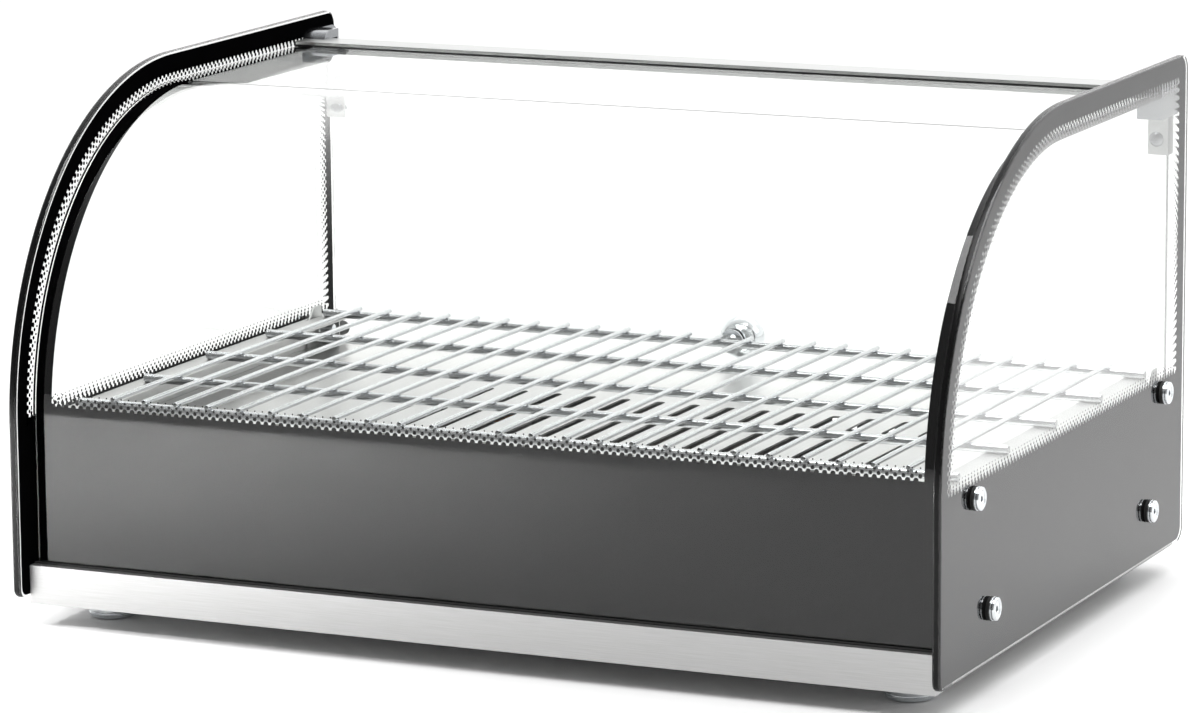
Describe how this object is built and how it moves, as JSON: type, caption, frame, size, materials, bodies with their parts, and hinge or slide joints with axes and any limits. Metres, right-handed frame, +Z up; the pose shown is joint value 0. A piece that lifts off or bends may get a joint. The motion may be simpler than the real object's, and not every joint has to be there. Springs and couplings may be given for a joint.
{
  "type": "hot food display case",
  "caption": "Counter-top hot food display case with a bent front glass, printed side glasses, a heated steel base, a wire rack and a rear flap door.",
  "frame": {"origin": "on the counter, under the middle of the case's width and of its depth from the side glasses' front edge to the back of the door knob", "axes": "+X to the viewer's right when facing the bent front glass, +Y to the rear door, +Z up"},
  "size_m": [0.566, 0.41, 0.303],
  "materials": {
    "printed_glass": "5 mm clear glass with a black ceramic print on the inner face, in bands with dotted edges",
    "clear_glass": "4 mm clear glass",
    "black_rubber": "matt black",
    "brushed_stainless": "brushed stainless sheet",
    "polished_stainless": "bright polished stainless sheet",
    "black_and_grey_bar": "black front, light grey top",
    "chrome_plate": "bright chrome plate",
    "satin_steel": "satin steel",
    "black_plastic": "matt black moulding",
    "red_plastic": "gloss translucent red",
    "amber_plastic": "gloss amber lens",
    "white_plastic": "white moulding",
    "brass": "plain",
    "wire_insulation": "insulated leads"
  },
  "bodies": {
    "case": {"base_pan": "brushed_stainless", "front_wall": "brushed_stainless", "side_wall_left": "brushed_stainless", "side_wall_right": "brushed_stainless", "rear_panel": "brushed_stainless", "deck": "polished_stainless", "side_glass_left": "printed_glass", "side_glass_right": "printed_glass", "front_glass": "printed_glass", "front_glass_gasket": "black_rubber", "rear_top_bar": "black_and_grey_bar", "corner_clamp_left": "chrome_plate", "corner_clamp_right": "chrome_plate", "pivot_pin_left": "chrome_plate", "pivot_pin_right": "chrome_plate", "rack_stop_left": "satin_steel", "rack_stop_right": "satin_steel", "door_buffers": "black_rubber", "foot_front_left": "chrome_plate", "foot_front_right": "chrome_plate", "foot_rear_left": "chrome_plate", "foot_rear_right": "chrome_plate", "foot_pads": "black_rubber", "foot_nuts": "satin_steel", "standoff_caps": "chrome_plate", "standoff_spacers": "black_rubber", "standoff_washers": "black_rubber", "standoff_nuts": "satin_steel", "heating_element": "satin_steel", "element_hangers": "satin_steel", "heat_shield": "satin_steel", "heat_shield_posts": "satin_steel", "thermostat_body": "black_plastic", "thermostat_bulb": "brass", "thermal_cutout": "black_plastic", "switch_body": "black_plastic", "pilot_lamp": "amber_plastic", "power_inlet": "black_plastic", "inlet_pins": "chrome_plate", "inlet_screws": "chrome_plate", "terminal_block": "white_plastic", "earth_stud": "brass", "wiring_loom": "wire_insulation", "rear_panel_screws": "chrome_plate", "base_screws": "chrome_plate"},
    "rear_door": {"door_glass": "clear_glass", "door_hinge_left": "satin_steel", "door_hinge_right": "satin_steel", "door_hinge_screws": "chrome_plate", "door_knob": "chrome_plate", "door_knob_washer": "chrome_plate", "door_knob_screw": "chrome_plate"},
    "wire_rack": {"wire_rack": "chrome_plate"},
    "thermostat_knob": {"thermostat_knob": "black_plastic", "thermostat_shaft": "satin_steel"},
    "switch_rocker": {"switch_rocker": "red_plastic"}
  },
  "joints": [
    {"name": "rear_door_hinge", "type": "hinge", "parent": "case", "child": "rear_door", "pos_m": [0, 0.176, 0.282], "axis": [1, 0, 0], "range_deg": [0, 95]},
    {"name": "wire_rack_lift", "type": "slide", "parent": "case", "child": "wire_rack", "axis": [0, 0, 1], "range_m": [0, 0.06]},
    {"name": "thermostat_knob_turn", "type": "hinge", "parent": "case", "child": "thermostat_knob", "pos_m": [-0.11, 0.1862, 0.058], "axis": [0, -1, 0], "range_deg": [0, 270]},
    {"name": "switch_rocker_tip", "type": "hinge", "parent": "case", "child": "switch_rocker", "pos_m": [-0.18, 0.1847, 0.058], "axis": [1, 0, 0], "range_deg": [0, 14]}
  ]
}
